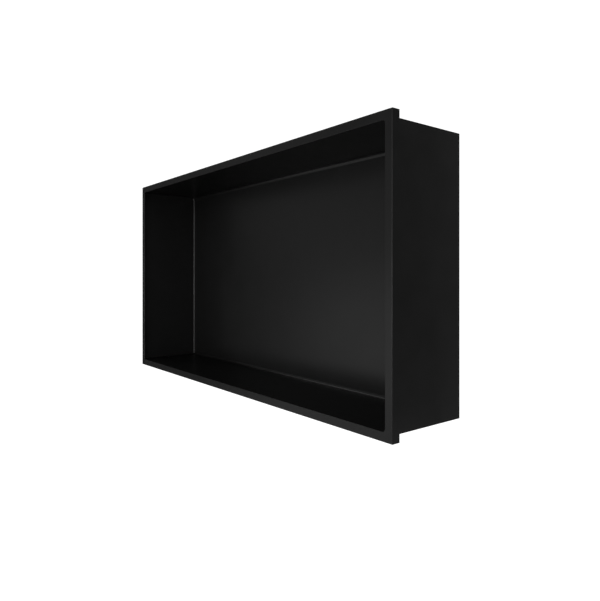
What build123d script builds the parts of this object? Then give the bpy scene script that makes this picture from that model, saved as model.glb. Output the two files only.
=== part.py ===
"""Recessed shower niche insert: one shell folded and seam-welded from thin steel sheet.

Millimetres. +X is along the width, +Y into the wall, +Z up. The origin is the middle of the
niche in the plane of the wall, where the rear edges of the top and bottom returns bear on it.
"""
import os

from build123d import *

os.makedirs("parts", exist_ok=True)

# Overall sizes
face_width = 612.0  # across the outer faces of the two end walls
face_height = 312.0  # over the returns at the top and the bottom
overall_depth = 100.0  # from the front of the face frame to the outer back

# Sheet and face frame
sheet = 1.2  # thickness of the steel
frame_width = 9.4  # width of the face frame round the mouth
return_depth = 10.0  # top and bottom returns, from the front of the frame to the wall
mouth_radius = 4.0  # corners of the mouth

# Folds and seams
back_fold = 4.5  # inside radius of ceiling and floor into the back panel
seam_step = 2.0  # how much tighter the dressed seams of the end walls are than that fold
front_fold = 0.3  # hidden inside corners of the face frame, grooved before they are folded
edge_radius = 0.4  # its sharp outer edges that come of that

# Sizes that follow
front_y = -return_depth
mouth_width = face_width - 2 * frame_width
mouth_height = face_height - 2 * frame_width
body_height = mouth_height + 2 * sheet
cavity_width = face_width - 2 * sheet
channel_height = (face_height - body_height) / 2 - sheet
channel_z = (body_height + channel_height) / 2
seam_radius = back_fold - seam_step
back_corner = back_fold + sheet

# Inner room: a long trough with folded back corners, closed by the end walls. The weld along
# each end wall is dressed to a radius where it meets ceiling, back panel and floor.
with BuildPart() as room:
    with BuildSketch(Plane.YZ) as room_section:
        with Locations((front_y + sheet, 0)):
            Rectangle(overall_depth - 2 * sheet, mouth_height, align=(Align.MIN, Align.CENTER))
        fillet(room_section.vertices().group_by(Axis.X)[-1], radius=back_fold)
    extrude(amount=cavity_width / 2, both=True)
    room_front = room.faces().sort_by(Axis.Y)[0]
    end_edges = room.edges().group_by(Axis.X)[0] + room.edges().group_by(Axis.X)[-1]
    fillet(end_edges - room_front.edges(), radius=seam_radius)

with BuildPart() as niche_shell:
    # Trough: one folded length with returns, frame, ceiling, back panel and floor, drawn out
    # between the end walls as a solid section that the steps below hollow to the sheet.
    with BuildSketch(Plane.YZ) as trough_section:
        with Locations((front_y, 0)):
            Rectangle(overall_depth, body_height, align=(Align.MIN, Align.CENTER))
        fillet(trough_section.vertices().group_by(Axis.X)[-1], radius=back_corner)
        with Locations((front_y, 0)):
            Rectangle(return_depth, face_height, align=(Align.MIN, Align.CENTER))
    extrude(amount=cavity_width / 2, both=True)

    # End walls: flat plates with square back corners, stepped at the front so that they also
    # close the ends of the returns.
    with BuildSketch(Plane.YZ.offset(cavity_width / 2)) as end_wall:
        with Locations((front_y, 0)):
            Rectangle(overall_depth, body_height, align=(Align.MIN, Align.CENTER))
            Rectangle(return_depth, face_height, align=(Align.MIN, Align.CENTER))
    extrude(amount=sheet)
    mirror(about=Plane.YZ)

    # One sheet thickness is left round the inner room.
    add(room.part, mode=Mode.SUBTRACT)

    # Behind the frame, above and below the body, the returns leave a channel that is open to
    # the wall and closed at its ends by the end walls.
    with BuildSketch(Plane.YZ) as return_channels:
        with Locations((front_y + sheet, channel_z), (front_y + sheet, -channel_z)):
            Rectangle(return_depth - sheet, channel_height, align=(Align.MIN, Align.CENTER))
        fillet(return_channels.vertices().group_by(Axis.X)[0], radius=front_fold)
    extrude(amount=cavity_width / 2, both=True, mode=Mode.SUBTRACT)

    # Mouth through the face frame, level with ceiling and floor. At both ends the frame reaches
    # in front of the room by its width.
    with BuildSketch(Plane.XZ.offset(-front_y)) as mouth:
        RectangleRounded(mouth_width, mouth_height, mouth_radius)
    extrude(amount=-sheet, mode=Mode.SUBTRACT)

    # Sharp edges of the face frame, outside and round the mouth.
    frame_front = niche_shell.faces().sort_by(Axis.Y)[0]
    fillet(frame_front.edges(), radius=edge_radius)

niche_shell.part.label = "niche_shell"
export_step(niche_shell.part, "parts/niche_shell.step")
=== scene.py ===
import math

import bmesh
import bpy
from mathutils import Euler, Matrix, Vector


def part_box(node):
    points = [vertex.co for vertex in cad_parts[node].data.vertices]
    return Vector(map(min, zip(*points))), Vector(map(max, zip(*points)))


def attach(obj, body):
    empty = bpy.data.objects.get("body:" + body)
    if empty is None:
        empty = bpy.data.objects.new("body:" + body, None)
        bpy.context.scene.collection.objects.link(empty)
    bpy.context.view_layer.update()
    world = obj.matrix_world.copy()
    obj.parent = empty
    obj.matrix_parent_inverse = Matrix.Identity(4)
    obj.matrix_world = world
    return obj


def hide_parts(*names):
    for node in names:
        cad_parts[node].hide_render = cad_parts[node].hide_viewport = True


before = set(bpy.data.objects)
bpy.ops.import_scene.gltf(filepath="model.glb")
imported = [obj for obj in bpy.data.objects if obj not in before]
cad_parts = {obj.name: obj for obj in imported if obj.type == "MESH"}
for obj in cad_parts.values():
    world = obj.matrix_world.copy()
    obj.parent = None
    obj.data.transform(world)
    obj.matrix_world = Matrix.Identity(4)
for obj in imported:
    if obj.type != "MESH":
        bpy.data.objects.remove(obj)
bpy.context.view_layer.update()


# Folded trough. One length of thin steel sheet is folded into ceiling, back panel and floor, and at
# the front into the face frame and its returns, which bear on the wall. It starts as a solid block
# between the end walls; the room and the channels are cut out of it further down.
low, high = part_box("niche_shell")
sheet = 0.0012  # thickness of the steel
frame_width = 0.0094  # width of the face frame round the mouth
back_fold = 0.0045  # inside radius of ceiling and floor into the back panel
fold_segments = 10
round_profile = 0.5  # a true arc
wall_y = 0.0  # the wall's face, where the returns end
same_place = 1e-5  # places nearer to each other than this are the same
facing = 0.9  # least share of a normal along an axis, for a face that faces that way
front_y = low.y
back_y = high.y
face_x = high.x
face_z = high.z
room_x = face_x - sheet
mouth_x = face_x - frame_width
mouth_z = face_z - frame_width
body_z = mouth_z + sheet


def add_block(name, low_corner, high_corner):
    """A block between two corners, with its place in its mesh, left open for editing."""
    if bpy.context.mode != "OBJECT":
        bpy.ops.object.mode_set(mode="OBJECT")
    bpy.ops.object.select_all(action="DESELECT")
    start, end = Vector(low_corner), Vector(high_corner)
    bpy.ops.mesh.primitive_cube_add(size=1, location=(start + end) / 2, scale=end - start)
    bpy.ops.object.transform_apply(location=True, rotation=True, scale=True)
    bpy.context.object.name = name
    bpy.ops.object.mode_set(mode="EDIT")
    return bpy.context.object


def select_faces(wanted):
    """Selects the faces of the piece in hand that wanted(centre, normal) names, and nothing else."""
    bpy.ops.mesh.select_mode(type="FACE")
    bpy.ops.mesh.select_all(action="DESELECT")
    mesh = bmesh.from_edit_mesh(bpy.context.object.data)
    for face in mesh.faces:
        face.select_set(wanted(face.calc_center_median(), face.normal))
    bmesh.update_edit_mesh(bpy.context.object.data)


def select_edges(wanted):
    """Selects the edges of the piece in hand that wanted(edge) names, and nothing else."""
    bpy.ops.mesh.select_mode(type="EDGE")
    bpy.ops.mesh.select_all(action="DESELECT")
    mesh = bmesh.from_edit_mesh(bpy.context.object.data)
    for edge in mesh.edges:
        edge.select_set(wanted(edge))
    bmesh.update_edit_mesh(bpy.context.object.data)


def near(a, b):
    return abs(a - b) < same_place


def along(edge, axis):
    """True where the edge runs along that axis, 0 for X, 1 for Y or 2 for Z."""
    run = edge.verts[1].co - edge.verts[0].co
    return near(abs(run[axis]), run.length)


def both_ends(edge, wanted):
    return wanted(edge.verts[0].co) and wanted(edge.verts[1].co)


def round_edges(radius, segments):
    bpy.ops.mesh.bevel(offset=radius, segments=segments, affect="EDGES", profile=round_profile)


def raise_returns():
    """Draws the band in front of the wall out, up and down, to the height of the face frame."""
    bpy.ops.mesh.select_all(action="SELECT")
    bpy.ops.mesh.bisect(plane_co=(0, wall_y, 0), plane_no=(0, 1, 0))
    for way in (1, -1):
        select_faces(lambda centre, normal: centre.y < wall_y and normal.z * way > facing)
        step = (0, 0, way * (face_z - body_z))
        bpy.ops.mesh.extrude_region_move(TRANSFORM_OT_translate={"value": step})


weld_x = face_x - sheet / 2  # the block reaches halfway into the end walls
shell = add_block("niche_folded_shell", (-weld_x, front_y, -body_z), (weld_x, back_y, body_z))
select_edges(lambda edge: along(edge, 0) and near(edge.verts[0].co.y, back_y))
round_edges(back_fold + sheet, fold_segments)
raise_returns()


# End walls. Two flat plates with square back corners close the trough. At the front they are stepped,
# so that they also close the ends of the returns. They are welded on and dressed flush.
def combine(piece, tool, operation):
    """Joins the tool to the piece, or cuts it out of it, and removes the tool."""
    bpy.ops.object.mode_set(mode="OBJECT")
    bpy.ops.object.select_all(action="DESELECT")
    bpy.context.view_layer.objects.active = piece
    step = piece.modifiers.new(tool.name, "BOOLEAN")
    step.operation = operation
    step.solver = "EXACT"
    step.object = tool
    bpy.ops.object.modifier_apply(modifier=step.name)
    bpy.data.objects.remove(tool)


for side in (-1, 1):
    inner, outer = sorted((side * room_x, side * face_x))
    plate = add_block("end_wall", (inner, front_y, -body_z), (outer, back_y, body_z))
    raise_returns()
    combine(shell, plate, "UNION")


# Inner room. It is as high as the mouth and reaches from end wall to end wall, also behind the frame.
# The sheet is folded round into the back panel, and the welds of the end walls are dressed to a radius.
seam_radius = 0.0025
mouth_radius = 0.004
room_front = front_y + sheet
room_back = back_y - sheet

room = add_block("inner_room", (-room_x, room_front, -mouth_z), (room_x, room_back, mouth_z))
select_edges(lambda edge: along(edge, 0) and near(edge.verts[0].co.y, room_back))
round_edges(back_fold, fold_segments)
for side in (-1, 1):
    select_edges(
        lambda edge: both_ends(edge, lambda place: near(place.x, side * room_x))
        and not both_ends(edge, lambda place: near(place.y, room_front))
    )
    round_edges(seam_radius, fold_segments)

combine(shell, room, "DIFFERENCE")

mouth = add_block("mouth", (-mouth_x, front_y - sheet, -mouth_z), (mouth_x, front_y + 2 * sheet, mouth_z))
select_edges(lambda edge: along(edge, 1))
round_edges(mouth_radius, fold_segments)
combine(shell, mouth, "DIFFERENCE")


# Return channels. Behind the frame, above and below the body, the returns leave a channel that is open
# to the wall. Its inside corners are hidden, and tight, from a groove that is cut before folding.
front_fold = 0.0003
for way in (-1, 1):
    lower, upper = sorted((way * body_z, way * (face_z - sheet)))
    channel = add_block("channel", (-room_x, room_front, lower), (room_x, wall_y + sheet, upper))
    select_edges(lambda edge: along(edge, 0) and near(edge.verts[0].co.y, room_front))
    round_edges(front_fold, fold_segments // 2)
    combine(shell, channel, "DIFFERENCE")


# Edges. The sheet is grooved before it is folded, so the edges of the face frame come out sharp, outside
# and round the mouth. With them the shell is finished, as one closed piece.
edge_radius = 0.0004
weld_gap = 1e-6  # points nearer to each other than this become one
flat_angle = math.radians(0.05)  # faces that meet at less than this become one
smooth_angle = math.radians(30)  # edges that turn by more than this stay sharp
bpy.context.view_layer.objects.active = shell
shell.select_set(True)
bpy.ops.object.mode_set(mode="EDIT")
bpy.ops.mesh.select_all(action="SELECT")
bpy.ops.mesh.remove_doubles(threshold=weld_gap)
bpy.ops.mesh.dissolve_limited(angle_limit=flat_angle)
select_edges(
    lambda edge: both_ends(edge, lambda place: near(place.y, front_y))
    and sum(face.normal.y < -facing for face in edge.link_faces) == 1
)
round_edges(edge_radius, fold_segments // 2)
bpy.ops.object.mode_set(mode="OBJECT")
bpy.ops.object.shade_smooth_by_angle(angle=smooth_angle)
weights = shell.modifiers.new("flat_faces", "WEIGHTED_NORMAL")
weights.keep_sharp = True
bpy.ops.object.modifier_apply(modifier=weights.name)

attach(shell, "root")
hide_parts("niche_shell")


# Black coat. The whole shell is powder coated in a deep matt black: a fine orange-peel skin over a low
# swell, with a faint satin gloss that varies a little where the coat lies thicker.
coat_black = 0.0042  # reflectance of the coat
coat_shift = 0.12  # share by which the black varies
coat_roughness = 0.3
roughness_shift = 0.04
coat_gloss = 0.15  # specular level, low as on a deep matt coat
peel_size = 0.0012  # width of one bump of the orange peel
peel_height = 0.000012
peel_detail, peel_grain = 2.0, 0.5
swell_size = 0.035  # width of one swell of the coat
swell_detail, swell_grain = 3.0, 0.55


class Wire:
    """A socket in a shader. Sums, differences and products of wires and numbers add Math nodes."""

    def __init__(self, tree, socket=None):
        self.tree = tree
        self.socket = socket

    def node(self, kind, settings, inputs, output=0):
        """Adds a node with its settings and the values or wires of its sockets; returns an output's wire."""
        made = self.tree.nodes.new(kind)
        for name, value in settings.items():
            setattr(made, name, value)
        for name, value in inputs.items():
            if isinstance(value, Wire):
                self.tree.links.new(value.socket, made.inputs[name])
            else:
                made.inputs[name].default_value = value
        return Wire(self.tree, made.outputs[output] if made.outputs else None)

    def maths(self, operation, first, second):
        return self.node("ShaderNodeMath", {"operation": operation}, {0: first, 1: second})

    def __add__(self, other):
        return self.maths("ADD", self, other)

    def __sub__(self, other):
        return self.maths("SUBTRACT", self, other)

    def __rsub__(self, other):
        return self.maths("SUBTRACT", other, self)

    def __mul__(self, other):
        return self.maths("MULTIPLY", self, other)

    __radd__ = __add__
    __rmul__ = __mul__


def new_material(name):
    """An empty material, and the wire that its nodes are added with."""
    material = bpy.data.materials.new(name)
    material.use_nodes = True
    material.node_tree.nodes.clear()
    return material, Wire(material.node_tree)


def uneven(tree, place, size, detail, grain):
    """A soft, uneven pattern from 0 to 1, with bumps of that size."""
    values = {"Vector": place, "Scale": 1 / size, "Detail": detail, "Roughness": grain}
    return tree.node("ShaderNodeTexNoise", {}, values, "Fac")


black_coat, tree = new_material("black_powder_coat")
place = tree.node("ShaderNodeTexCoord", {}, {}, "Object")
swell = uneven(tree, place, swell_size, swell_detail, swell_grain)
peel = uneven(tree, place, peel_size, peel_detail, peel_grain)
shade = coat_black * (1 - coat_shift) + swell * (2 * coat_shift * coat_black)
colour = tree.node("ShaderNodeCombineColor", {}, {"Red": shade, "Green": shade, "Blue": shade})
bump = tree.node("ShaderNodeBump", {}, {"Height": peel, "Distance": peel_height, "Strength": 1.0})
coat = tree.node(
    "ShaderNodeBsdfPrincipled",
    {},
    {
        "Base Color": colour,
        "Roughness": coat_roughness - roughness_shift + swell * (2 * roughness_shift),
        "Specular IOR Level": coat_gloss,
        "Normal": bump,
    },
)
tree.node("ShaderNodeOutputMaterial", {}, {"Surface": coat})
shell.data.materials.clear()
shell.data.materials.append(black_coat)


# Floor and backdrop. A niche sits at chest height in its wall, so the plain pale floor lies well below
# it, and sweeps up all round into a backdrop. What the camera and mirrored rays see is lifted to white,
# but the backdrop fades to a dim grey to the left in front and to the right behind.
floor_drop = 1.2
floor_radius = 3.0
floor_sides = 144
backdrop_height = 3.6
sweep_radius = 0.8
pale = 0.25
white_lift = 1.0
floor_lift = 0.95  # the light of the lamps makes up the rest
dim_lift = 0.075
dim_turn = math.radians(120.5)  # middle of the dim part in front, turned to the left from straight behind
dim_half = math.radians(22.5)
dim_fade = math.radians(10)  # stretch from dim to white, on either side
rise_fade = 0.3  # height over which the floor's lift goes over into the backdrop's


def fade(tree, value, start, end, first, last):
    """Goes smoothly from first to last while the value goes from start to end."""
    return tree.node(
        "ShaderNodeMapRange",
        {"interpolation_type": "SMOOTHSTEP"},
        {"Value": value, "From Min": start, "From Max": end, "To Min": first, "To Max": last},
    )


pale_stage, tree = new_material("pale_stage")
place = tree.node("ShaderNodeTexCoord", {}, {}, "Object")
right, back, rise = (tree.node("ShaderNodeSeparateXYZ", {}, {"Vector": place}, axis) for axis in "XYZ")
turn = tree.maths("ARCTAN2", 0 - right, back)
away = tree.maths("PINGPONG", turn - dim_turn, math.pi / 2)  # from the middle of the nearer dim part
wall_lift = fade(tree, away, dim_half, dim_half + dim_fade, dim_lift, white_lift)
lift = fade(tree, rise, -floor_drop, rise_fade - floor_drop, floor_lift, wall_lift)

# 1 for rays from the camera, mirrored rays and rays through glass, and 0 for light on its way
camera_ray, glossy_ray, glass_ray = (
    tree.node("ShaderNodeLightPath", {}, {}, f"Is {kind} Ray")
    for kind in ("Camera", "Glossy", "Transmission")
)
seen = tree.maths("MAXIMUM", tree.maths("MAXIMUM", camera_ray, glossy_ray), glass_ray)
matt = tree.node("ShaderNodeBsdfDiffuse", {}, {"Color": lift * pale})
glow = tree.node("ShaderNodeEmission", {}, {"Strength": seen * lift})
both = tree.node("ShaderNodeAddShader", {}, {0: matt, 1: glow})
tree.node("ShaderNodeOutputMaterial", {}, {"Surface": both})

bpy.ops.object.select_all(action="DESELECT")
bpy.ops.mesh.primitive_circle_add(
    vertices=floor_sides, radius=floor_radius, fill_type="NGON", location=(0, 0, -floor_drop)
)
bpy.ops.object.transform_apply(location=True, rotation=True, scale=True)
floor = bpy.context.object
floor.name = "floor"
bpy.ops.object.mode_set(mode="EDIT")
select_edges(lambda edge: edge.is_boundary)
bpy.ops.mesh.extrude_region_move(TRANSFORM_OT_translate={"value": (0, 0, backdrop_height)})
select_edges(lambda edge: both_ends(edge, lambda place: near(place.z, -floor_drop)))
round_edges(sweep_radius, fold_segments)
bpy.ops.object.mode_set(mode="OBJECT")
bpy.ops.object.shade_smooth()
floor.data.materials.append(pale_stage)


# Light. A dim fill from above the backdrop, and soft lamps that face the niche: a low strip behind the
# camera as the key lamp, one to the right, a large one in front, three faint ones to the left and one
# behind.
fill = 0.1
lamp_distance = 2.5

world = bpy.data.worlds.new("studio")
bpy.context.scene.world = world
world.use_nodes = True
sky = world.node_tree.nodes["Background"]
sky.inputs["Color"].default_value = (1, 1, 1, 1)
sky.inputs["Strength"].default_value = fill
bpy.context.scene.view_settings.view_transform = "Standard"


def add_lamp(name, turn, rise, width, height, radiance):
    """A soft lamp that faces the niche, turned to the right from straight in front of it and raised."""
    place = Vector((0, -lamp_distance, 0))
    place.rotate(Euler((-math.radians(rise), 0, 0)))
    place.rotate(Euler((0, 0, math.radians(turn))))
    bpy.ops.object.light_add(type="AREA", location=place)
    lamp = bpy.context.object
    lamp.name = name
    lamp.rotation_euler = (-place).to_track_quat("-Z", "Y").to_euler()
    lamp.data.shape = "RECTANGLE"
    lamp.data.size = width
    lamp.data.size_y = height
    lamp.data.energy = math.pi * width * height * radiance


# turn and rise in degrees, width and height in metres, and how bright the lamp looks
add_lamp("key_lamp", 42, -4, 1.3, 0.25, 25.5)
add_lamp("right_lamp", 92, 8, 1.2, 1.2, 7.3)
add_lamp("front_lamp", 17, 18, 1.8, 1.7, 2.5)
add_lamp("low_left_lamp", -37.5, -9, 1.34, 0.8, 1.61)
add_lamp("left_lamp", -45, 10, 1.3, 0.7, 0.48)
add_lamp("high_left_lamp", -67, 41, 1.0, 1.1, 2.66)
add_lamp("back_lamp", -155, 40, 1.5, 1.5, 8)


# Camera. Level with the middle of the niche, to the right of it and turned towards its far end. The
# picture's middle lies beside the camera's axis, so the lens is shifted.
camera_place = (0.66480, -0.38028, 0.00041)
camera_turn = math.radians(50.224)
image_width, image_height = 600, 601
focal_pixels = 555.3
axis_pixel = (332.484, 275.586)  # where the camera's axis meets the picture

bpy.ops.object.camera_add(location=camera_place, rotation=(math.pi / 2, 0, camera_turn))
camera = bpy.context.object
longer_side = max(image_width, image_height)
camera.data.lens = camera.data.sensor_width * focal_pixels / longer_side
camera.data.shift_x = (image_width / 2 - axis_pixel[0]) / longer_side
camera.data.shift_y = (axis_pixel[1] - image_height / 2) / longer_side
bpy.context.scene.camera = camera
